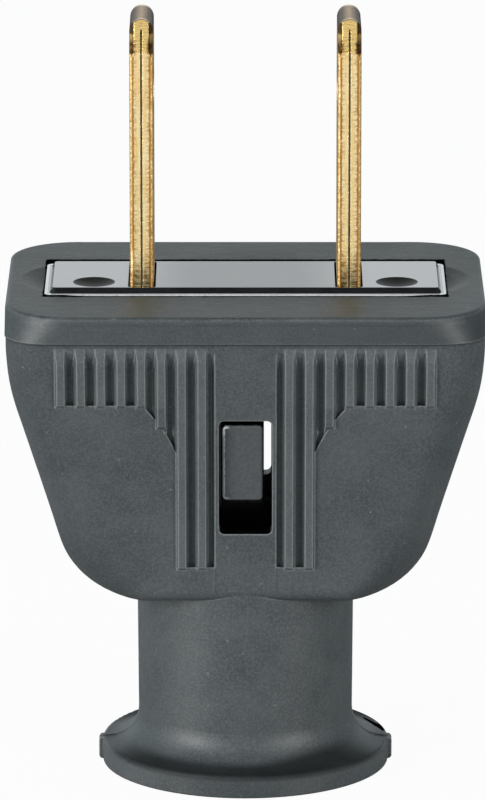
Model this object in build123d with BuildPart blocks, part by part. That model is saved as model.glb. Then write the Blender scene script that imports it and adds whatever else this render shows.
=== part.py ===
from build123d import *

import os
from math import atan, cos, degrees, radians, sin, sqrt

os.makedirs("parts", exist_ok=True)

# Rubber body, outside. The origin is the centre of the flange's underside.
face_height = 30.75
face_width = 29.3
face_depth = 20.4
face_corner_radius = 4.4
face_edge_radius = 0.25
collar_height = 1.65
collar_corner_radius = 2.6
collar_step = 0.4
collar_side_step = 0.08

grip_corner_high = 2.2
grip_corner_low = 3.4
grip_sections = 10
side_knee = 26.15
side_ease = 2.0
panel_knee = 15.35
panel_ease = 5.15
shoulder_height = 11.7
shoulder_width = 20.75
shoulder_radius = 5.0
shoulder_sweep = 75
shoulder_sections = 6
shoulder_edge_radius = 0.8

neck_diameter = 13.4
neck_waist_diameter = 13.2
neck_inset = 0.05
neck_top = 16.0
flare_radius = 2.0
flange_diameter = 17.8
flange_height = 1.4
flange_edge_radius = 0.2
ear_reach = 0.25
ear_width = 0.9
ear_corner_radius = 0.25

# Ribbed pockets, the same on the front and the back; the ribs stand out of them over the panel
rib_pitch = 1.225
rib_first = 2.65
rib_count = 8
long_rib_count = 2
rib_crest = 0.48
rib_proud = 0.2
rib_inner_flank = 0.1
rib_outer_flank = 0.28
rib_top = 28.75
rib_top_ramp = 0.9
rib_foot_reach = 0.2
rib_overlap = 0.15
strip_edge = 1.78
pocket_depth = 0.27
pocket_top = 28.45
pocket_ramp = 1.2
pocket_short_bottom = 24.95
pocket_long_bottom = 14.2
pocket_corner_reach = 2.2
pocket_corner_drop = 3.5
pocket_corner_bulge = 0.25
corner_rib_drop = 1.6

# Window through the front and back walls, and the chamber inside
window_width = 3.26
window_height = 7.55
window_middle = 20.15
window_corner_radius = 0.35
window_back_rise = 0.3
window_wall = 1.2
channel_width = 4.2
channel_top = 26.0
channel_bottom = 15.5
dish_length = 27.7
dish_depth = 0.35
dish_margin = 0.35
dish_slope_run = 1.5
chamber_wall = 2.6
chamber_foot = 15.5
chamber_bottom = 11.6
cord_hole_diameter = 8.0

# Plastic insert
insert_width = 24.6
insert_depth = 8.1
insert_thickness = 3.4
insert_corner_radius = 0.4
insert_clearance = 0.08
insert_shelf = 1.2
pad_ledge_end = 0.27
pad_ledge_side = 0.35
pad_height = 0.3
pad_slope_run = 0.22
pad_edge_radius = 0.06
dimple_diameter = 2.6
dimple_depth = 0.25
dimple_place_x = 9.3
dimple_place_y = -2.0
barrier_width = 3.1
barrier_offset = -0.42
barrier_stem_depth = 7.0
barrier_bottom = 16.6
lug_width = 2.62
lug_offset = -0.18
lug_top_gap = 0.35
lug_height = 5.1
lug_recess = 0.45
lug_edge_radius = 0.2

# Brass blades
blade_spacing = 12.7
blade_width = 6.35
blade_thickness = 1.45
blade_edge_radius = 0.25
blade_seam_width = 0.1
blade_seam_depth = 0.35
blade_length = 16.8
blade_slot_clearance = 0.12
tip_taper_length = 1.9
tip_flat = 4.5
tip_edge_bevel = 0.3
blade_hole_diameter = 3.2
blade_hole_height = 11.9
blade_shoulder_width = 7.5
blade_shoulder_height = 1.5
terminal_width = 6.0
terminal_bottom = 17.2

# Terminal screws
screw_height = 21.0
screw_shank_diameter = 3.5
screw_shank_length = 4.0
screw_hole_clearance = 0.05
screw_head_diameter = 6.2
screw_head_height = 1.7
screw_head_edge = 0.4
screw_slot_width = 0.9
screw_slot_depth = 0.8

# Values that follow from the sizes above
ledge_height = face_height - collar_height
grip_width = face_width - 2 * collar_side_step
neck_radius = neck_diameter / 2
flange_radius = flange_diameter / 2
panel_slope = (face_depth / 2 - collar_step - neck_radius) / (ledge_height - panel_knee)
side_slope = (grip_width - shoulder_width) / 2 / (side_knee - shoulder_height)
side_angle = atan(side_slope)
shoulder_rise = shoulder_radius * (1 - sin(side_angle))
shoulder_centre = shoulder_width / 2 + side_slope * shoulder_rise - shoulder_radius * cos(side_angle)
insert_bottom = face_height - insert_thickness
seat_width = insert_width + 2 * insert_clearance
seat_depth = insert_depth + 2 * insert_clearance
blade_tip = face_height + blade_length
lug_top = window_middle + window_height / 2 - lug_top_gap
lug_bottom = lug_top - lug_height
rib_height = rib_proud + pocket_depth
pocket_outer = rib_first + (rib_count - 1) * rib_pitch + rib_crest / 2
pocket_leg_outer = rib_first + (long_rib_count - 1) * rib_pitch + rib_crest / 2


def eased_rise(height, knee, ease, slope):
    """Rise of a line that begins to lean at the knee, rounded over the ease on each side."""
    above = height - knee
    if above >= ease:
        return slope * above
    if above <= -ease:
        return 0
    return slope * (above + ease) ** 2 / (4 * ease)


def half_depth(height):
    """Half the grip's depth: upright at the neck, leaning out to the collar."""
    return neck_radius + eased_rise(height, panel_knee, panel_ease, panel_slope)


def half_width(height):
    """Half the grip's width: upright below the collar, leaning in to the round shoulders."""
    drop = shoulder_height + shoulder_radius - height
    if drop > shoulder_radius * sin(side_angle):
        return shoulder_centre + sqrt(shoulder_radius**2 - drop**2)
    return grip_width / 2 - eased_rise(-height, -side_knee, side_ease, side_slope)


def grip_corner(height):
    """Plan radius of the grip's corners, larger towards the shoulders."""
    share = (height - shoulder_height) / (ledge_height - shoulder_height)
    return grip_corner_low + (grip_corner_high - grip_corner_low) * share


def draw_panel_line(top, bottom, inward):
    """Draws the front panel's side view, moved inward: straight above, a parabola below."""
    bend_top = panel_knee + panel_ease
    straight_end = max(bottom, bend_top)
    Line((inward - half_depth(top), top), (inward - half_depth(straight_end), straight_end))
    if bottom < bend_top:
        lean = panel_slope * (bottom - panel_knee + panel_ease) / (2 * panel_ease)
        meet_height = (bend_top + bottom) / 2
        meet = half_depth(bottom) + lean * (meet_height - bottom)
        Bezier(
            (inward - half_depth(bend_top), bend_top),
            (inward - meet, meet_height),
            (inward - half_depth(bottom), bottom),
        )


def carry_down_panel(corners, top, bottom):
    """A section of the given corners, across and outward, carried down the front panel."""
    with BuildPart() as run:
        with BuildLine(Plane.YZ) as path:
            draw_panel_line(top, bottom, 0)
        line = path.wire()
        with BuildSketch(Plane(line @ 0, x_dir=(1, 0, 0), z_dir=line % 0)):
            Polygon(*corners, align=None)
        sweep(path=line)
    return run.part


def rib_section(inner_edge, outer_edge, crest):
    """Corners of a rib on the right with its crest's edges and level: steep inside, sloping outside."""
    root = crest + pocket_depth + rib_overlap
    return [
        (inner_edge, crest),
        (outer_edge, crest),
        (outer_edge + rib_outer_flank * root / rib_height, crest - root),
        (inner_edge - rib_inner_flank * root / rib_height, crest - root),
    ]


def build_rib(foot):
    """One rib on the middle line that comes down to the panel in a ramp above and a bevel below."""
    ramp_end = rib_top - rib_top_ramp
    ramp_run = half_depth(rib_top) - half_depth(ramp_end) - rib_proud
    foot_skin = -half_depth(foot)
    beyond = rib_proud + rib_overlap
    with BuildPart() as rib:
        section = rib_section(-rib_crest / 2, rib_crest / 2, rib_proud)
        add(carry_down_panel(section, rib_top + rib_overlap, foot - 2 * rib_overlap))
        with BuildSketch(Plane.YZ):
            with BuildLine():
                Polyline(
                    (-half_depth(rib_top) - ramp_run, rib_top + rib_top_ramp),
                    (-face_depth, rib_top + rib_top_ramp),
                    (-face_depth, ramp_end - rib_top_ramp),
                    (2 * ramp_run - half_depth(rib_top), ramp_end - rib_top_ramp),
                    close=True,
                )
            make_face()
            with BuildLine():
                Polyline(
                    (foot_skin + rib_overlap, foot - rib_overlap),
                    (foot_skin + rib_overlap, foot - 4 * rib_overlap),
                    (foot_skin - beyond, foot - 4 * rib_overlap),
                    (foot_skin - beyond, foot + beyond),
                    close=True,
                )
            make_face()
        extrude(amount=rib_pitch, both=True, mode=Mode.SUBTRACT)
    return rib.part


# The ribs of the right-hand half of the front
short_rib = build_rib(pocket_short_bottom - rib_foot_reach)
corner_rib = build_rib(pocket_short_bottom - corner_rib_drop)
long_rib = build_rib(pocket_long_bottom - rib_foot_reach)

with BuildPart() as right_ribs:
    for index in range(rib_count):
        place = rib_first + index * rib_pitch
        if index < long_rib_count:
            kind = long_rib
        elif place < pocket_leg_outer + pocket_corner_reach:
            kind = corner_rib
        else:
            kind = short_rib
        with Locations((place, 0, 0)):
            add(kind)

# The tool that sinks the pockets into the front panel, with sloping edges along the middle strip
with BuildPart() as pocket_tool:
    ramp_foot = pocket_top - pocket_ramp
    ramp_head = pocket_top + pocket_ramp / 4
    floor_end = panel_knee - panel_ease
    strip_inside = strip_edge / 2
    with BuildSketch(Plane.YZ):
        with BuildLine():
            draw_panel_line(ramp_foot, floor_end, pocket_depth)
            Polyline(
                (pocket_depth - half_depth(floor_end), floor_end),
                (-face_depth, floor_end),
                (-face_depth, ramp_head),
                (-pocket_depth / 4 - half_depth(ramp_head), ramp_head),
                (pocket_depth - half_depth(ramp_foot), ramp_foot),
            )
        make_face()
    extrude(amount=face_width, both=True)
    with BuildSketch(Plane.XZ):
        with BuildLine():
            corner_start = (pocket_leg_outer + pocket_corner_reach, pocket_short_bottom)
            corner_end = (pocket_leg_outer, pocket_short_bottom - pocket_corner_drop)
            Polyline(
                corner_end,
                (pocket_leg_outer, pocket_long_bottom),
                (strip_inside, pocket_long_bottom),
                (strip_inside, face_height),
                (pocket_outer, face_height),
                (pocket_outer, pocket_short_bottom),
                corner_start,
            )
            SagittaArc(corner_end, corner_start, pocket_corner_bulge)
        make_face()
        mirror(about=Plane.YZ)
    extrude(amount=2 * face_depth, mode=Mode.INTERSECT)
    strip_section = rib_section(0, strip_edge, rib_overlap)
    right_edge = carry_down_panel(strip_section, face_height, pocket_long_bottom - rib_overlap)
    add(right_edge, mode=Mode.SUBTRACT)
    add(mirror(right_edge, about=Plane.YZ, mode=Mode.PRIVATE), mode=Mode.SUBTRACT)

with BuildPart() as body:
    # Grip: rounded rectangles lofted round the shoulders and up to the collar
    levels = []
    for index in range(shoulder_sections):
        turn = radians(shoulder_sweep) + (side_angle - radians(shoulder_sweep)) * index / shoulder_sections
        levels.append(shoulder_height + shoulder_radius * (1 - sin(turn)))
    side_foot = shoulder_height + shoulder_rise
    for index in range(grip_sections):
        levels.append(side_foot + (ledge_height - side_foot) * index / (grip_sections - 1))
    for level in levels:
        with BuildSketch(Plane.XY.offset(level)):
            RectangleRounded(2 * half_width(level), 2 * half_depth(level), grip_corner(level))
    loft()
    fillet(body.edges().group_by(Axis.Z)[0], shoulder_edge_radius)

    # Collar round the face
    with BuildSketch(Plane.XY.offset(ledge_height)):
        RectangleRounded(face_width, face_depth, collar_corner_radius)
    with BuildSketch(Plane.XY.offset(face_height)):
        RectangleRounded(face_width, face_depth, face_corner_radius)
    loft()
    fillet(body.faces().sort_by(Axis.Z)[-1].edges(), face_edge_radius)

    # Neck and flange, turned about the cord's axis; the neck's top follows the panel just inside it
    neck_start = panel_knee - panel_ease
    waist = neck_waist_diameter / 2
    top_radius = half_depth(neck_top) - neck_inset
    start_radius = half_depth(neck_start) - neck_inset
    with BuildSketch(Plane.XZ) as neck_profile:
        with BuildLine():
            Polyline(
                (0, neck_top),
                (0, 0),
                (flange_radius, 0),
                (flange_radius, flange_height),
                (waist + flare_radius, flange_height),
            )
            RadiusArc(
                (waist + flare_radius, flange_height),
                (waist, flange_height + flare_radius),
                flare_radius,
            )
            Line((waist, flange_height + flare_radius), (start_radius, neck_start))
            Bezier(
                (start_radius, neck_start),
                (start_radius, (neck_start + neck_top) / 2),
                (top_radius, neck_top),
            )
            Line((top_radius, neck_top), (0, neck_top))
        make_face()
        rim = neck_profile.vertices().group_by(Axis.X)[-1].sort_by(Axis.Y)[-1]
        fillet(rim, flange_edge_radius)
    revolve(axis=Axis.Z)
    with BuildSketch(Plane.XZ):
        with Locations((0, flange_height / 2)):
            RectangleRounded(2 * (flange_radius + ear_reach), flange_height, ear_corner_radius)
    extrude(amount=ear_width / 2, both=True)

    # Ribbed pockets and windows, front and back
    add(pocket_tool.part, mode=Mode.SUBTRACT)
    add(mirror(pocket_tool.part, about=Plane.XZ, mode=Mode.PRIVATE), mode=Mode.SUBTRACT)
    left_ribs = mirror(right_ribs.part, about=Plane.YZ, mode=Mode.PRIVATE)
    for ribs in (right_ribs.part, left_ribs):
        add(ribs)
        add(mirror(ribs, about=Plane.XZ, mode=Mode.PRIVATE))
    with BuildSketch(Plane.XZ):
        with Locations((0, window_middle)):
            RectangleRounded(window_width, window_height, window_corner_radius)
    extrude(amount=face_depth, mode=Mode.SUBTRACT)
    with BuildSketch(Plane.XZ):
        with Locations((0, window_middle + window_back_rise / 2)):
            RectangleRounded(window_width, window_height - window_back_rise, window_corner_radius)
    extrude(amount=-face_depth, mode=Mode.SUBTRACT)

    # Dish in the face and the seat of the insert
    dish_width = seat_depth + 2 * dish_margin
    with BuildSketch(Plane.XY.offset(face_height)):
        SlotOverall(dish_length, dish_width)
    with BuildSketch(Plane.XY.offset(face_height - dish_depth)):
        SlotOverall(dish_length - 2 * dish_slope_run, dish_width - 2 * dish_slope_run)
    loft(mode=Mode.SUBTRACT)
    with BuildSketch(Plane.XY.offset(insert_bottom)):
        RectangleRounded(seat_width, seat_depth, insert_corner_radius)
    extrude(amount=insert_thickness, mode=Mode.SUBTRACT)

    # Wiring chamber under the seat, narrowing with the grip to the cord hole
    chamber_top_half = seat_width / 2 - insert_shelf
    chamber_bend = side_knee - side_ease
    with BuildSketch(Plane.XZ):
        with BuildLine():
            Polyline(
                (chamber_top_half, insert_bottom),
                (min(chamber_top_half, half_width(chamber_bend) - chamber_wall), chamber_bend),
                (half_width(chamber_foot) - chamber_wall, chamber_foot),
                (cord_hole_diameter / 2, chamber_bottom),
                (0, chamber_bottom),
                (0, insert_bottom),
                close=True,
            )
        make_face()
        mirror(about=Plane.YZ)
    extrude(amount=seat_depth / 2, both=True, mode=Mode.SUBTRACT)
    with BuildSketch(Plane.YZ):
        with BuildLine():
            draw_panel_line(channel_top, channel_bottom, window_wall)
            Polyline(
                (window_wall - half_depth(channel_bottom), channel_bottom),
                (0, channel_bottom),
                (0, channel_top),
                (window_wall - half_depth(channel_top), channel_top),
            )
        make_face()
        mirror(about=Plane.YZ)
    extrude(amount=channel_width / 2, both=True, mode=Mode.SUBTRACT)
    with BuildSketch():
        Circle(cord_hole_diameter / 2)
    extrude(amount=insert_bottom, mode=Mode.SUBTRACT)

body.part.label = "body"
export_step(body.part, "parts/body.step")

with BuildPart() as insert:
    # Plate with its raised pad
    with BuildSketch(Plane.XY.offset(insert_bottom)):
        RectangleRounded(insert_width, insert_depth, insert_corner_radius)
    extrude(amount=insert_thickness)
    with BuildSketch(Plane.XY.offset(face_height)):
        RectangleRounded(
            insert_width - 2 * pad_ledge_end,
            insert_depth - 2 * pad_ledge_side,
            insert_corner_radius,
        )
    extrude(amount=pad_height, taper=degrees(atan(pad_slope_run / pad_height)))
    fillet(insert.faces().sort_by(Axis.Z)[-1].edges(), pad_edge_radius)
    dimple_sphere = (dimple_diameter**2 / 4 + dimple_depth**2) / (2 * dimple_depth)
    dimple_level = face_height + pad_height + dimple_sphere - dimple_depth
    with Locations(
        (-dimple_place_x, dimple_place_y, dimple_level),
        (dimple_place_x, dimple_place_y, dimple_level),
    ):
        Sphere(dimple_sphere, mode=Mode.SUBTRACT)

    # Lug for each window, then the barrier between the terminals that carries both
    with BuildSketch(Plane.YZ.offset(lug_offset)):
        with BuildLine():
            Polyline(
                (0, lug_top),
                (lug_recess - half_depth(lug_top), lug_top),
                (lug_recess - half_depth(lug_bottom), lug_bottom),
                (-barrier_stem_depth / 2, barrier_bottom),
                (0, barrier_bottom),
                close=True,
            )
        make_face()
        mirror(about=Plane.YZ)
    extrude(amount=lug_width / 2, both=True)
    front_to_back = insert.faces().sort_by(Axis.Y)
    fillet(front_to_back[0].edges() + front_to_back[-1].edges(), lug_edge_radius)
    with BuildSketch(Plane.YZ.offset(barrier_offset)):
        with Locations((0, barrier_bottom)):
            Rectangle(
                barrier_stem_depth,
                insert_bottom - barrier_bottom,
                align=(Align.CENTER, Align.MIN),
            )
    extrude(amount=barrier_width / 2, both=True)

    # Blade slots
    with BuildSketch(Plane.XY.offset(insert_bottom)):
        with Locations((-blade_spacing / 2, 0), (blade_spacing / 2, 0)):
            Rectangle(
                blade_thickness + 2 * blade_slot_clearance,
                blade_width + 2 * blade_slot_clearance,
            )
    extrude(amount=insert_thickness + pad_height, mode=Mode.SUBTRACT)

insert.part.label = "insert"
export_step(insert.part, "parts/insert.step")

with BuildPart() as blade:
    # Outline of the strip, seen from the side
    with BuildSketch(Plane.YZ) as strip_outline:
        with BuildLine():
            Polyline(
                (0, terminal_bottom),
                (terminal_width / 2, terminal_bottom),
                (terminal_width / 2, insert_bottom - blade_shoulder_height),
                (blade_shoulder_width / 2, insert_bottom - blade_shoulder_height),
                (blade_shoulder_width / 2, insert_bottom),
                (blade_width / 2, insert_bottom),
                (blade_width / 2, blade_tip - tip_taper_length),
                (tip_flat / 2, blade_tip),
                (0, blade_tip),
                close=True,
            )
        make_face()
        mirror(about=Plane.YZ)
    extrude(amount=blade_thickness / 2, both=True)
    tapers = blade.faces().sort_by(Axis.Z)[-3:-1]
    chamfer(tapers.edges().filter_by(Axis.X, reverse=True), tip_edge_bevel)
    long_edges = blade.edges().filter_by(Axis.Z).filter_by(lambda edge: edge.center().Z > face_height)
    fillet(long_edges, blade_edge_radius)

    # Fold at the tip, then the seam of the two leaves, a groove along both edges below it
    fold_radius = blade_thickness / 2
    fold_height = blade_tip - fold_radius
    with BuildSketch(Plane.XZ):
        with Locations((0, fold_height)):
            Circle(fold_radius)
        with Locations((0, terminal_bottom)):
            Rectangle(blade_thickness, fold_height - terminal_bottom, align=(Align.CENTER, Align.MIN))
    extrude(amount=blade_shoulder_width, both=True, mode=Mode.INTERSECT)
    with BuildSketch(Plane.YZ):
        add(strip_outline.sketch_local)
        offset(amount=-blade_seam_depth, mode=Mode.SUBTRACT)
        with Locations((0, terminal_bottom)):
            Rectangle(
                blade_shoulder_width,
                fold_height - terminal_bottom,
                align=(Align.CENTER, Align.MIN),
                mode=Mode.INTERSECT,
            )
    extrude(amount=blade_seam_width / 2, both=True, mode=Mode.SUBTRACT)

    # Hole near the tip and hole for the terminal screw
    with BuildSketch(Plane.YZ):
        with Locations((0, face_height + blade_hole_height)):
            Circle(blade_hole_diameter / 2)
        with Locations((0, screw_height)):
            Circle(screw_shank_diameter / 2 + screw_hole_clearance)
    extrude(amount=blade_thickness, both=True, mode=Mode.SUBTRACT)

with BuildPart() as blade_left:
    with Locations((-blade_spacing / 2, 0, 0)):
        add(blade.part)

blade_left.part.label = "blade_left"
export_step(blade_left.part, "parts/blade_left.step")

with BuildPart() as blade_right:
    with Locations((blade_spacing / 2, 0, 0)):
        add(blade.part)

blade_right.part.label = "blade_right"
export_step(blade_right.part, "parts/blade_right.step")

with BuildPart() as terminal_screws:
    # Slotted binding heads seated on the outer face of each blade
    head_seat = Plane.YZ.offset((blade_spacing + blade_thickness) / 2)
    with BuildSketch(head_seat):
        with Locations((0, screw_height)):
            Circle(screw_head_diameter / 2)
    extrude(amount=screw_head_height)
    chamfer(terminal_screws.edges().sort_by(Axis.X)[-1], screw_head_edge)
    with BuildSketch(head_seat.offset(screw_head_height)):
        with Locations((0, screw_height)):
            Rectangle(screw_head_diameter, screw_slot_width)
    extrude(amount=-screw_slot_depth, mode=Mode.SUBTRACT)
    with BuildSketch(head_seat):
        with Locations((0, screw_height)):
            Circle(screw_shank_diameter / 2)
    extrude(amount=-screw_shank_length)
    mirror(about=Plane.YZ)

terminal_screws.part.label = "terminal_screws"
export_step(terminal_screws.part, "parts/terminal_screws.step")
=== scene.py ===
import math

import bpy
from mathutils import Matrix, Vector
from mathutils.bvhtree import BVHTree


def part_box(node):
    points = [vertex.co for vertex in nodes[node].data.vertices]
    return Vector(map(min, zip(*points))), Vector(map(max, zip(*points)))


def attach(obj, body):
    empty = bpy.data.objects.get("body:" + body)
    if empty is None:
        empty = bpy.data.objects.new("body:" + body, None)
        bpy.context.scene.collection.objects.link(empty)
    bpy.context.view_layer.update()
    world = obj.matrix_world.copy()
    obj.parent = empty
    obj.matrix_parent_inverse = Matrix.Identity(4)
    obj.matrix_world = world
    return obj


MM = 0.001

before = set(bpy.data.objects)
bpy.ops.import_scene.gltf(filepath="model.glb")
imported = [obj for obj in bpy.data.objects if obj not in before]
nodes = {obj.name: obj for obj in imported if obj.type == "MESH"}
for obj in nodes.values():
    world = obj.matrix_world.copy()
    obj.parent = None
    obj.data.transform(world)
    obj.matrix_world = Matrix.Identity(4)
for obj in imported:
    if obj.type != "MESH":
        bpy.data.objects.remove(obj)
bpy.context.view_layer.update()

# Places on the body in millimetres, heights from the flange's underside
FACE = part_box("body")[1].z / MM
COLLAR_FOOT = FACE - 1.65
RIB_TOP = 28.6
SHORT_RIB_FOOT = 24.9
LONG_RIB_FOOT = 14.1
RIBS_FROM = 2.3
SHORT_RIBS_TO = 11.5
LONG_RIBS_TO = 4.2
STRIP_EDGE = 1.87
STRIP_FOOT = 12.9
GRIP_FOOT = 11.0
WINDOW_HALF_WIDTH = 1.67
WINDOW_FRONT = -7.04
WINDOW_SILL = 16.2
FLANGE_TOP = 1.35
RIM_TOP = 1.2
SEAT_END = 12.28
SEAT_FRONT = -4.4
SEAT_BACK = 4.95

# Slit in the flange: where it starts, its heading, its length and how much it widens per millimetre
SLIT_START = (7.45, 3.55)
SLIT_TURN = math.radians(-61.05)
SLIT_LENGTH = 2.9
SLIT_WIDENING = 0.055

# Places on the insert in millimetres
PAD_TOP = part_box("insert")[1].z / MM
LEDGE_END = 12.13
LEDGE_SIDE = 3.79
DIMPLE_X = 9.3
DIMPLE_Y = -2.0
DIMPLE_RADIUS = 1.29
CATCH_FOOT = 18.5
CATCH_TOP = 26.0
CATCH_X = -0.18
CATCH_HEIGHT = 21.02
CATCH_HALF_WIDTH = 1.31
CATCH_HALF_HEIGHT = 2.55
CATCH_CORNER = 0.35

# Places on the blades in millimetres
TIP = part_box("blade_left")[1].z / MM
BLADE_X = (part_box("blade_right")[0].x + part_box("blade_right")[1].x) / 2 / MM
BLADE_HALF_WIDTH = 3.175
TAPER_LENGTH = 1.9
TAPER_HALF_FLAT = 2.25
TAPER_SLOPE = (BLADE_HALF_WIDTH - TAPER_HALF_FLAT) / TAPER_LENGTH

# Height of the tip for brass that has none, far above everything
NO_TIP = 1000.0

# Camera at the photograph's angle, image taken as 485 by 800 pixels
IMAGE_HEIGHT = 800
FOCAL_PIXELS = 7685
SHIFT_PIXELS = (-2.9, -15.0)
AIM = Vector((0, 0, 24.0)) * MM
ELEVATION = math.radians(14.31)
DISTANCE = 475.8 * MM


class Socket:
    """A node's output. Sums on it add Math nodes to the same tree."""

    def __init__(self, net, output):
        self.net = net
        self.output = output

    def math(self, operation, *values):
        return self.net.node("ShaderNodeMath", {"operation": operation}, dict(enumerate(values)))

    def __add__(self, other):
        return self.math("ADD", self, other)

    def __radd__(self, other):
        return self.math("ADD", other, self)

    def __sub__(self, other):
        return self.math("SUBTRACT", self, other)

    def __rsub__(self, other):
        return self.math("SUBTRACT", other, self)

    def __mul__(self, other):
        return self.math("MULTIPLY", self, other)

    def __rmul__(self, other):
        return self.math("MULTIPLY", other, self)

    def __abs__(self):
        return self.math("ABSOLUTE", self)

    def larger(self, other):
        return self.math("MAXIMUM", self, other)

    def hypot(self, other):
        return self.math("SQRT", self * self + other * other)

    def ease(self, low, high):
        """0 at low, 1 at high, and a soft step between; low may be the larger."""
        if low > high:
            return 1 - self.ease(high, low)
        span = {"Value": self, "From Min": low, "From Max": high, "To Min": 0.0, "To Max": 1.0}
        return self.net.node("ShaderNodeMapRange", {"interpolation_type": "SMOOTHSTEP"}, span)

    def between(self, low, high, edge):
        """1 from low to high, with a soft edge outside."""
        return self.ease(low - edge, low) * self.ease(high + edge, high)

    def sibling(self, name):
        """Another output of the same node."""
        return Socket(self.net, self.output.node.outputs[name])


class Net:
    """A node tree that is filled node by node."""

    def __init__(self, tree):
        self.tree = tree
        tree.nodes.clear()

    def node(self, kind, settings=None, inputs=None, output=0):
        made = self.tree.nodes.new(kind)
        for key, value in (settings or {}).items():
            setattr(made, key, value)
        for key, value in (inputs or {}).items():
            if isinstance(value, Socket):
                self.tree.links.new(value.output, made.inputs[key])
            else:
                made.inputs[key].default_value = value
        return Socket(self, made.outputs[output]) if made.outputs else made


class Finish(Net):
    """The nodes of a material or of the surroundings. Sizes are in millimetres."""

    def __init__(self, owner):
        owner.use_nodes = True
        self.owner = owner
        super().__init__(owner.node_tree)

    def direction(self):
        """The object coordinates as they are: on the surroundings, the direction looked in."""
        return self.node("ShaderNodeTexCoord", output="Object")

    def point(self):
        """The place on the piece, in millimetres."""
        scaled = {0: self.direction(), "Scale": 1 / MM}
        return self.node("ShaderNodeVectorMath", {"operation": "SCALE"}, scaled)

    def axes(self, point):
        """The point's X, Y and Z."""
        split = self.node("ShaderNodeSeparateXYZ", None, {0: point})
        return [split.sibling(axis) for axis in "XYZ"]

    def stretched(self, point, scale):
        return self.node("ShaderNodeMapping", {"vector_type": "POINT"}, {"Vector": point, "Scale": scale})

    def noise(self, point, size, detail, roughness):
        inputs = {"Vector": point, "Scale": 1 / size, "Detail": detail, "Roughness": roughness}
        return self.node("ShaderNodeTexNoise", None, inputs)

    def cells(self, point, size):
        """Distance to the nearest cell's centre, in cells, and that cell's random number."""
        near = self.node("ShaderNodeTexVoronoi", None, {"Vector": point, "Scale": 1 / size})
        lot = self.node("ShaderNodeSeparateColor", None, {0: near.sibling("Color")})
        return near, lot

    def mix(self, factor, low, high):
        return self.node("ShaderNodeMix", {"data_type": "RGBA"}, {0: factor, 6: low, 7: high}, 2)

    def rounded(self, radius):
        """Normals as if sharp edges were rounded."""
        return self.node("ShaderNodeBevel", {"samples": 6}, {"Radius": radius * MM})

    def edges(self, radius):
        """Rises from 0 to about 0.3 where a sharp edge is nearer than the radius."""
        flat = self.node("ShaderNodeNewGeometry", output="Normal")
        vectors = {0: flat, 1: self.rounded(radius)}
        return 1 - self.node("ShaderNodeVectorMath", {"operation": "DOT_PRODUCT"}, vectors, "Value")

    def openness(self, reach):
        """1 on an open surface, less in grooves and corners."""
        return self.node("ShaderNodeAmbientOcclusion", {"samples": 8}, {"Distance": reach * MM}, "AO")

    def bump(self, height, normal):
        inputs = {"Height": height, "Distance": MM, "Strength": 1.0, "Normal": normal}
        return self.node("ShaderNodeBump", None, inputs)

    def close(self, shader):
        world = isinstance(self.owner, bpy.types.World)
        kind = "ShaderNodeOutputWorld" if world else "ShaderNodeOutputMaterial"
        self.node(kind, None, {"Surface": shader})
        return self.owner

    def surface(self, inputs, blacked_out):
        """A surface, black and without gloss where the last argument is 1. Callers put painted shade and
        shadow there, the flange's slit and the brass's fold seam.
        """
        shader = self.node("ShaderNodeBsdfPrincipled", None, inputs)
        black = {"Base Color": colour(0.003, 0.003, 0.003), "Roughness": 1.0, "Specular IOR Level": 0.0}
        flat_black = self.node("ShaderNodeBsdfPrincipled", None, black)
        return self.close(self.node("ShaderNodeMixShader", None, {0: blacked_out, 1: shader, 2: flat_black}))


class Recipe(Net):
    """A Geometry Nodes tree with named sizes."""

    def __init__(self, name):
        super().__init__(bpy.data.node_groups.new(name, "GeometryNodeTree"))
        self.tree.interface.new_socket("Geometry", in_out="INPUT", socket_type="NodeSocketGeometry")
        self.tree.interface.new_socket("Geometry", in_out="OUTPUT", socket_type="NodeSocketGeometry")
        self.sizes = {}

    def size(self, name, value):
        """Adds a named size, kept under its socket's identifier."""
        socket = self.tree.interface.new_socket(name, in_out="INPUT", socket_type="NodeSocketFloat")
        self.sizes[socket.identifier] = value
        return name

    def given(self, name):
        return self.node("NodeGroupInput", output=name)

    def finish(self, geometry, material):
        real = self.node("GeometryNodeRealizeInstances", None, {"Geometry": geometry})
        made = self.node("GeometryNodeSetMaterial", None, {"Geometry": real, "Material": material})
        self.node("NodeGroupOutput", None, {"Geometry": made})

    def run(self, carrier, name):
        """The tree's result on a carrier mesh, as a plain mesh object."""
        holder = bpy.data.objects.new(name + "_carrier", carrier)
        bpy.context.scene.collection.objects.link(holder)
        modifier = holder.modifiers.new("recipe", "NODES")
        modifier.node_group = self.tree
        for identifier, value in self.sizes.items():
            modifier[identifier] = value
        ready = holder.evaluated_get(bpy.context.evaluated_depsgraph_get())
        piece = bpy.data.objects.new(name, bpy.data.meshes.new_from_object(ready))
        bpy.context.scene.collection.objects.link(piece)
        bpy.data.objects.remove(holder)
        return piece


def colour(red, green, blue):
    return (red, green, blue, 1)


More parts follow.
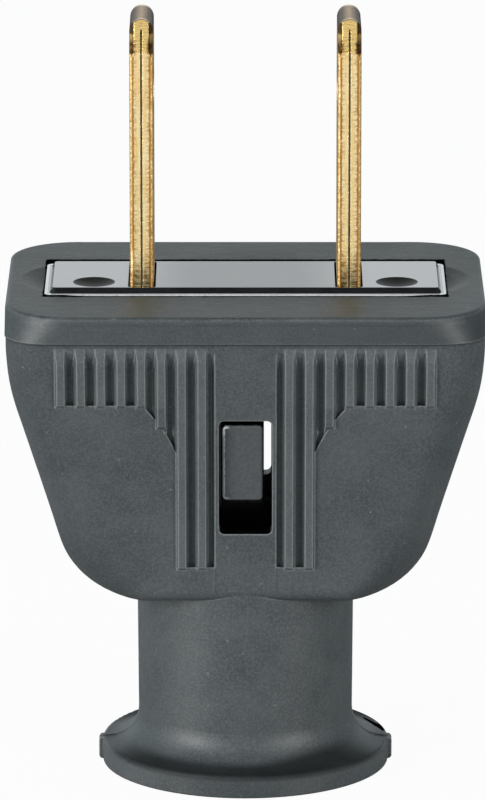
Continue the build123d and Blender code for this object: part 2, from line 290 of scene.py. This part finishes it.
def rubber_painted_black(rubber, point):
    """1 where the rubber is painted black: the flange's slit, painted shade on the window's sill and a
    painted shadow in the gap round the insert.
    """
    x, y, z = rubber.axes(point)
    right = x - SLIT_START[0]
    back = y - SLIT_START[1]
    along = right * math.cos(SLIT_TURN) + back * math.sin(SLIT_TURN)
    beside = abs(back * math.cos(SLIT_TURN) - right * math.sin(SLIT_TURN)) - along * SLIT_WIDENING
    on_flange = z.ease(FLANGE_TOP + 0.55, FLANGE_TOP + 0.35)
    slit = beside.ease(0.16, 0.1) * along.between(0.0, SLIT_LENGTH, 0.1) * on_flange
    in_window = abs(x).ease(WINDOW_HALF_WIDTH + 0.05, WINDOW_HALF_WIDTH - 0.05)
    # Painted shade: the window's sill, which lies in shade, painted black.
    sill_shade = z.between(WINDOW_SILL, WINDOW_SILL + 0.3, 0.05) * in_window * y.between(WINDOW_FRONT, 0.0, 0.06)
    # Painted shadow: the rubber just round the insert's seat painted black, standing for the shadow in the
    # gap.
    past_side = (SEAT_FRONT - y).larger(y - SEAT_BACK) * 0.5
    ragged = (rubber.noise(point, 0.5, 3, 0.6) - 0.5) * 0.2
    past_seat = (abs(x) - SEAT_END).larger(past_side) + ragged
    seat_shadow = past_seat.ease(0.2, 0.1) * z.ease(FACE - 0.55, FACE - 0.45)
    return slit.larger(sill_shade).larger(seat_shadow)


def rubber_finish():
    """Dark grey moulded rubber, dull, with a fine grain, pale specks, scuffs and the mould's own marks,
    with painted highlights on open edges, rib crests and the rim's left side, and painted shade on the
    collar, the rim, the lower grip, the flare and in grooves.
    """
    rubber = Finish(bpy.data.materials.new("rubber_moulded"))
    point = rubber.point()
    x, y, z = rubber.axes(point)
    clouds = rubber.noise(point, 3.2, 4, 0.6)
    grain = rubber.noise(point, 0.14, 3, 0.65)
    scuffs = rubber.noise(rubber.stretched(point, (0.4, 1.0, 1.0)), 0.5, 4, 0.7)
    near, lot = rubber.cells(point, 1.1)
    specks = near.ease(0.09, 0.03) * lot.ease(0.5, 0.75)
    open_air = rubber.openness(0.4)

    face = z.ease(FACE - 0.55, FACE - 0.35)
    # Band under the collar's lower edge, where a painted shadow line goes and the edge highlights stop.
    under_collar = z.between(COLLAR_FOOT - 0.16, COLLAR_FOOT, 0.05)
    # Painted shade: the collar band darker, more so towards the right.
    collar_shade = z.between(COLLAR_FOOT + 0.1, FACE - 0.25, 0.1) * (0.4 + x.ease(0.0, 9.0) * 0.2)
    short_ribs = abs(x).between(RIBS_FROM, SHORT_RIBS_TO, 0.1) * z.between(SHORT_RIB_FOOT, RIB_TOP, 0.2)
    long_height = z.between(LONG_RIB_FOOT, SHORT_RIB_FOOT + 0.5, 0.2)
    long_ribs = abs(x).between(RIBS_FROM, LONG_RIBS_TO, 0.1) * long_height
    # Painted highlight on the rib crests.
    crest_highlight = short_ribs.larger(long_ribs) * open_air.ease(0.8, 0.97)
    strip_lines = abs(abs(x) - STRIP_EDGE).ease(0.1, 0.02) * z.between(STRIP_FOOT, LONG_RIB_FOOT - 0.1, 0.5)
    # Painted shade low on the grip, towards its sides.
    shoulder_shade = z.ease(GRIP_FOOT, GRIP_FOOT + 0.4) * z.ease(GRIP_FOOT + 8.0, GRIP_FOOT + 1.5)
    rim = z.ease(RIM_TOP + 0.1, RIM_TOP - 0.1)
    # Painted shade on the flange's rim at the front and back.
    front_rim_shade = rim * abs(x).ease(7.5, 4.0)
    # Painted highlight on the rim's left side.
    left_rim_highlight = rim * x.ease(-4.0, -7.0)
    # Painted shade: a dark ring in the flare's hollow above the flange, strongest at front and back, also
    # made rougher and half blacked out.
    outward = x.hypot(y) + x.ease(0.0, 5.0) * 0.5
    ring = outward.ease(7.2, 7.9) * z.between(FLANGE_TOP, FLANGE_TOP + 0.85, 0.4)
    flare_shade = ring * abs(y).ease(2.0, 5.5) * (0.5 + clouds * 0.7)

    # Painted highlight: light lines along open sharp edges, stopped under the collar.
    edges = rubber.edges(0.14).ease(0.003, 0.06) * open_air.ease(0.45, 0.8) * (1 - under_collar)
    # Sum of the painted shade on the rubber, mixed towards near black below.
    shade = collar_shade + front_rim_shade * 0.3 + shoulder_shade * abs(x).ease(5.0, 9.0) * 0.25 + flare_shade * 0.9
    # Painted shade in grooves and corners, read from occlusion, and a painted shadow line under the collar.
    crease_shade = open_air.ease(0.75, 0.3) * 0.5 + under_collar * 0.4
    base = rubber.mix(clouds.ease(0.3, 0.7), colour(0.04, 0.047, 0.05), colour(0.06, 0.067, 0.07))
    grained = rubber.mix(grain.ease(0.38, 0.68) * 0.55, base, colour(0.11, 0.117, 0.12))
    scuffed = rubber.mix(scuffs.ease(0.45, 0.7) * face * 0.2, grained, colour(0.2, 0.215, 0.225))
    speckled = rubber.mix(specks * 0.5, scuffed, colour(0.22, 0.225, 0.225))
    edge_highlighted = rubber.mix(edges * (0.4 + grain * 0.7), speckled, colour(0.26, 0.27, 0.275))
    crest_and_rim_lit = rubber.mix(crest_highlight * 0.12 + left_rim_highlight * 0.1, edge_highlighted, colour(0.24, 0.25, 0.255))
    shaded = rubber.mix(shade, crest_and_rim_lit, colour(0.016, 0.02, 0.022))
    height = grain * 0.016 + strip_lines * 0.05 + scuffs * face * 0.035
    return rubber.surface({
        "Base Color": rubber.mix(crease_shade, shaded, colour(0.008, 0.009, 0.01)),
        "Roughness": 0.42 + clouds * 0.12 + flare_shade * 0.25,
        "Specular IOR Level": 0.5,
        "Normal": rubber.bump(height, rubber.rounded(0.14)),
    }, rubber_painted_black(rubber, point).larger(flare_shade * 0.5))


def insert_finish():
    """Glossy black moulded plastic, dull on the two catches and in the dimples, with a painted highlight
    along the pad's ledge, painted glints on the catches' left edges and a painted black shadow round the
    catches.
    """
    plastic = Finish(bpy.data.materials.new("insert_gloss"))
    point = plastic.point()
    x, y, z = plastic.axes(point)
    waves = plastic.noise(point, 2.6, 2, 0.5)
    smear = plastic.noise(plastic.stretched(point, (1.0, 3.0, 1.0)), 1.4, 3, 0.6)
    grain = plastic.noise(point, 0.2, 2, 0.6)

    catch = abs(y).ease(5.4, 5.8) * z.between(CATCH_FOOT, CATCH_TOP, 0.1)
    # Painted shadow: a black outline round the catch's face, with rounded corners.
    past_side = (abs(x - CATCH_X) - (CATCH_HALF_WIDTH - CATCH_CORNER)).larger(0.0)
    past_end = (abs(z - CATCH_HEIGHT) - (CATCH_HALF_HEIGHT - CATCH_CORNER)).larger(0.0)
    outward = past_side.hypot(past_end) + (grain - 0.5) * 0.12
    border_shadow = catch * outward.ease(CATCH_CORNER - 0.13, CATCH_CORNER - 0.03)
    # Painted highlight: glints along the catch's left edge, brighter towards its top corner.
    lit_corner = 0.35 + z.ease(CATCH_HEIGHT + 1.38, CATCH_HEIGHT + 2.18) * 0.65
    left_edge = outward.between(0.14, 0.22, 0.06) * x.ease(CATCH_X - 0.72, CATCH_X - 1.02)
    glint = catch * left_edge * lit_corner

    from_dimple = (abs(x) - DIMPLE_X).hypot(y - DIMPLE_Y)
    near_top = z.ease(PAD_TOP - 1.05, PAD_TOP - 0.85)
    dimple = from_dimple.ease(DIMPLE_RADIUS + 0.05, DIMPLE_RADIUS - 0.05) * near_top
    dull = catch + dimple
    slope = z.between(PAD_TOP - 0.27, PAD_TOP - 0.03, 0.01)
    # Painted highlight: a light line along the ledge round the pad.
    side_ledge = abs(y).ease(LEDGE_SIDE - 0.03, LEDGE_SIDE + 0.03)
    end_ledge = abs(x).ease(LEDGE_END - 0.03, LEDGE_END + 0.03)
    ledge_highlight = side_ledge.larger(end_ledge) * z.between(PAD_TOP - 0.41, PAD_TOP - 0.29, 0.02)
    ends = abs(x).ease(3.0, 8.0)

    black = plastic.mix(smear.ease(0.3, 0.7), colour(0.008, 0.008, 0.009), colour(0.014, 0.014, 0.015))
    grey = plastic.mix(grain.ease(0.3, 0.7), colour(0.055, 0.058, 0.061), colour(0.075, 0.078, 0.081))
    caught = plastic.mix(catch, black, grey)
    ledge_lit = plastic.mix(ledge_highlight * (0.5 + grain * 0.9), caught, colour(0.85, 0.85, 0.86))
    return plastic.surface({
        "Base Color": plastic.mix(glint * (0.2 + grain), ledge_lit, colour(0.8, 0.8, 0.81)),
        "Roughness": (0.12 + smear * 0.08) * (1 - dull) + dull * 0.5,
        "Specular IOR Level": 0.5,
        "Coat Weight": (0.4 + ends * 0.6) * (1 - dull) * (1 - slope),
        "Coat Roughness": 0.08,
        "Normal": plastic.bump(waves * 0.008 + grain * dull * 0.012, plastic.rounded(0.06)),
    }, border_shadow)


def brass_finish(name, tip):
    """Brass strip with drawn lines, torn sheared edges, a fold seam, brown tarnish and a dull tip."""
    brass = Finish(bpy.data.materials.new(name))
    point = brass.point()
    x, y, z = brass.axes(point)
    lines = brass.noise(brass.stretched(point, (6.0, 6.0, 0.4)), 0.9, 3, 0.6)
    tears = brass.noise(brass.stretched(point, (1.0, 1.0, 5.0)), 0.5, 3, 0.7)
    stain = brass.noise(brass.stretched(point, (1.0, 1.0, 0.6)), 1.5, 5, 0.7)
    flecks = brass.noise(brass.stretched(point, (1.0, 1.0, 1.6)), 0.26, 2, 0.6)
    ticks = brass.noise(brass.stretched(point, (1.0, 1.0, 4.0)), 0.55, 2, 0.5)

    across = abs(abs(x) - BLADE_X)
    ragged = across + (tears - 0.5) * 0.26
    below_tip = tip - z
    foot = z.ease(FACE + 3.25, FACE + 0.45)
    on_edge = abs(y).ease(BLADE_HALF_WIDTH - 0.425, BLADE_HALF_WIDTH - 0.225)
    past_taper = abs(y) - below_tip * TAPER_SLOPE - TAPER_HALF_FLAT
    on_taper = past_taper.ease(-0.08, -0.02) * below_tip.ease(TAPER_LENGTH + 0.05, TAPER_LENGTH - 0.05)
    near_taper = past_taper.ease(-0.45, -0.3) * below_tip.ease(TAPER_LENGTH + 0.2, TAPER_LENGTH)
    cut = on_edge.larger(near_taper)
    cap = below_tip.ease(0.95, 0.8) * (1 - on_taper)

    nicked = (across + foot * 0.15).ease(0.16, 0.42) * ticks.ease(0.48, 0.58) * on_edge
    torn = ragged.between(0.48, 0.6, 0.05) * on_edge * stain.ease(0.25, 0.5)
    tarnish = stain.ease(0.5, 0.7) * flecks.ease(0.5, 0.62)
    bruise = ragged.ease(0.4, 0.52) * near_taper
    charred = below_tip.ease(1.0, 1.5) * ragged.ease(0.3, 0.44) * near_taper
    scorch = charred * (0.6 + flecks.ease(0.35, 0.6) * 0.4)
    seam = (across + (tears - 0.5) * 0.05).ease(0.08, 0.03) * cut * below_tip.ease(0.55, 0.65)

    drawn = lines.ease(0.3, 0.7)
    side = brass.mix(drawn, colour(0.7, 0.5, 0.2), colour(0.8, 0.6, 0.29))
    edge = brass.mix(drawn, colour(0.94, 0.66, 0.28), colour(0.99, 0.82, 0.47))
    base = brass.mix(cut, side, brass.mix(on_taper * 0.8, edge, colour(1.0, 0.66, 0.22)))
    stained = brass.mix(tarnish * 0.6, base, colour(0.4, 0.19, 0.04))
    sheared = brass.mix(torn * 0.9, stained, colour(0.3, 0.135, 0.025))
    ticked = brass.mix(nicked * (0.42 + foot * 0.45), sheared, colour(0.36, 0.18, 0.035))
    bruised = brass.mix(bruise * 0.75, ticked, colour(0.3, 0.14, 0.035))
    scorched = brass.mix(scorch * 0.95, bruised, colour(0.055, 0.02, 0.006))
    seamed = brass.mix(seam, scorched, colour(0.06, 0.025, 0.008))
    streaks = (across + (lines - 0.5) * 0.5).ease(-0.05, 0.5)
    dull_cap = brass.mix(streaks, colour(0.75, 0.55, 0.38), colour(0.06, 0.034, 0.018))
    smoothed = cut * (0.19 - across.ease(0.44, 0.6) * 0.25)
    return brass.surface({
        "Base Color": brass.mix(cap * 0.95, seamed, dull_cap),
        "Metallic": 1.0,
        "Roughness": 0.36 + tears * 0.1 + cap * 0.06 - smoothed,
        "Normal": brass.bump(tears * 0.01, brass.rounded(0.1)),
    }, seam * 0.6)


def dress(node, material):
    """Gives a CAD node its finish."""
    mesh = nodes[node].data
    mesh.materials.clear()
    mesh.materials.append(material)


def bead_path(side):
    """Points down one side of the body where the two halves of its mould met, read off the body itself."""
    body = nodes["body"].data
    corners = [vertex.co for vertex in body.vertices]
    skin = BVHTree.FromPolygons(corners, [face.vertices for face in body.polygons])
    far = 50 * MM
    inward = Vector((-side, 0, 0))
    shoulder = Vector((6.0 * side, 0, 16.0)) * MM
    # Heights down the grip and the neck in tenths of a millimetre, turns round the shoulder in degrees
    grip_heights = range(284, 160, -4)
    shoulder_turns = range(0, 73, 3)
    neck_heights = range(115, 13, -1)
    rays = [(Vector((far * side, 0, height / 10 * MM)), inward) for height in grip_heights]
    for turn in shoulder_turns:
        away = Vector((side * math.cos(math.radians(turn)), 0, -math.sin(math.radians(turn))))
        rays.append((shoulder + far * away, -away))
    rays += [(Vector((far * side, 0, height / 10 * MM)), inward) for height in neck_heights]
    return [skin.ray_cast(start, direction)[0] for start, direction in rays]


def add_parting_line(material):
    """Fine raised line left by the mould down both sides of the body."""
    points = []
    edges = []
    for side in (-1, 1):
        path = bead_path(side)
        edges += [(len(points) + place, len(points) + place + 1) for place in range(len(path) - 1)]
        points += path
    carrier = bpy.data.meshes.new("parting_path")
    carrier.from_pydata(points, edges, [])
    bead = Recipe("parting_bead")
    radius = bead.size("Bead Radius", 0.06 * MM)
    step = bead.size("Step", 0.15 * MM)
    line = bead.node("GeometryNodeMeshToCurve", None, {"Mesh": bead.given("Geometry")})
    steps = {"Curve": line, "Length": bead.given(step)}
    even = bead.node("GeometryNodeResampleCurve", {"mode": "LENGTH"}, steps)
    circle = {"Resolution": 8, "Radius": bead.given(radius)}
    ring = bead.node("GeometryNodeCurvePrimitiveCircle", None, circle)
    tube = {"Curve": even, "Profile Curve": ring, "Fill Caps": True}
    bead.finish(bead.node("GeometryNodeCurveToMesh", None, tube), material)
    piece = bead.run(carrier, "parting_line")
    piece.data.polygons.foreach_set("use_smooth", [True] * len(piece.data.polygons))
    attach(piece, "root")


def add_camera():
    data = bpy.data.cameras.new("camera")
    data.sensor_width = 36
    data.lens = FOCAL_PIXELS / IMAGE_HEIGHT * data.sensor_width
    data.shift_x = SHIFT_PIXELS[0] / IMAGE_HEIGHT
    data.shift_y = SHIFT_PIXELS[1] / IMAGE_HEIGHT
    data.clip_start = 10 * MM
    camera = bpy.data.objects.new("camera", data)
    camera.location = AIM + DISTANCE * Vector((0, -math.cos(ELEVATION), math.sin(ELEVATION)))
    camera.rotation_euler = (math.pi / 2 - ELEVATION, 0, 0)
    bpy.context.scene.collection.objects.link(camera)
    bpy.context.scene.camera = camera


def seen_directly(finish):
    """1 for rays from the camera, and 1 for what metal, gloss and clear things show."""
    camera_ray = finish.node("ShaderNodeLightPath")
    return camera_ray, camera_ray.sibling("Is Glossy Ray").larger(camera_ray.sibling("Is Transmission Ray"))


def add_floor():
    """Pale floor, white where seen directly, with a faint shadow under the plug."""
    paint = Finish(bpy.data.materials.new("floor_white"))
    camera_ray, glossy_ray = seen_directly(paint)
    lit = paint.node("ShaderNodeBsdfDiffuse", None, {"Color": colour(0.75, 0.75, 0.75)})
    front_begins = -60
    front_full = -120
    in_front = paint.axes(paint.point())[1].ease(front_begins, front_full)
    level = camera_ray + glossy_ray * (0.15 + in_front * 0.85)
    white = paint.node("ShaderNodeEmission", None, {"Color": colour(1, 1, 1), "Strength": level})
    share = camera_ray * 0.96 + glossy_ray * 0.85
    mixed = paint.node("ShaderNodeMixShader", None, {0: share, 1: lit, 2: white})
    mesh = bpy.data.meshes.new("floor")
    reach = 3.0
    depth = -0.02 * MM
    square = [(-reach, -reach), (reach, -reach), (reach, reach), (-reach, reach)]
    mesh.from_pydata([(right, back, depth) for right, back in square], [], [(0, 1, 2, 3)])
    mesh.materials.append(paint.close(mixed))
    floor = bpy.data.objects.new("floor", mesh)
    bpy.context.scene.collection.objects.link(floor)


def add_softbox(name, azimuth, width, power):
    """Soft upright lamp, turned from the camera by azimuth and aimed level. Sizes are in millimetres."""
    distance = 450
    middle = 125
    height = 260
    data = bpy.data.lights.new(name, "AREA")
    data.shape = "RECTANGLE"
    data.size = width * MM
    data.size_y = height * MM
    data.energy = power
    lamp = bpy.data.objects.new(name, data)
    turn = math.radians(azimuth)
    lamp.location = Vector((distance * math.sin(turn), -distance * math.cos(turn), middle)) * MM
    lamp.rotation_euler = (math.pi / 2, 0, turn)
    bpy.context.scene.collection.objects.link(lamp)


def add_world(ambient, behind, front, overhead):
    """Surroundings: white to the camera; gloss shows a white backdrop, a dim front and a dark ceiling."""
    sky = Finish(bpy.data.worlds.new("surroundings"))
    bpy.context.scene.world = sky.owner
    camera_ray, glossy_ray = seen_directly(sky)
    x, y, z = sky.axes(sky.direction())
    backdrop = y.ease(-0.3, 0.4)
    panel = z.between(0.45, 0.7, 0.1) * y.ease(-0.3, -0.6)
    ceiling = (z * 0.966 - y * 0.26).ease(0.8, 0.92)
    dark = ceiling.larger(z.ease(0.36, 0.56) * y.ease(-0.1, 0.3))
    sides = 1 - x.ease(0.3, 0.75) * 0.8 - x.ease(-0.4, -0.85) * 0.35
    bright = front + backdrop.larger(panel) * (1 - front)
    shown = bright * (1 - dark * (1 - overhead)) * sides
    fill = ambient * (1 - x.ease(0.1, 0.9) * 0.6) + y.ease(0.2, 0.8) * z.ease(0.6, 0.2) * behind
    strength = camera_ray + glossy_ray * shown + (1 - camera_ray - glossy_ray) * fill
    mirrored = sky.mix(abs(x).ease(0.2, 0.6), colour(0.94, 0.985, 1.01), colour(0.82, 0.98, 1.0))
    tint = sky.mix(camera_ray, sky.mix(glossy_ray, colour(0.72, 1.0, 1.05), mirrored), colour(1, 1, 1))
    sky.close(sky.node("ShaderNodeBackground", None, {"Color": tint, "Strength": strength}))


# The plug
rubber = rubber_finish()
brass = brass_finish("brass_strip", TIP)
dress("body", rubber)
dress("insert", insert_finish())
dress("blade_left", brass)
dress("blade_right", brass)
dress("terminal_screws", brass_finish("brass_screw", NO_TIP))
add_parting_line(rubber)

# Camera, floor and light
add_camera()
add_floor()
add_world(ambient=0.25, behind=1.4, front=0.85, overhead=0.08)
add_softbox("softbox_left", azimuth=-57, width=160, power=2.15)
add_softbox("softbox_right", azimuth=52, width=90, power=1.35)
bpy.context.scene.view_settings.view_transform = "Standard"
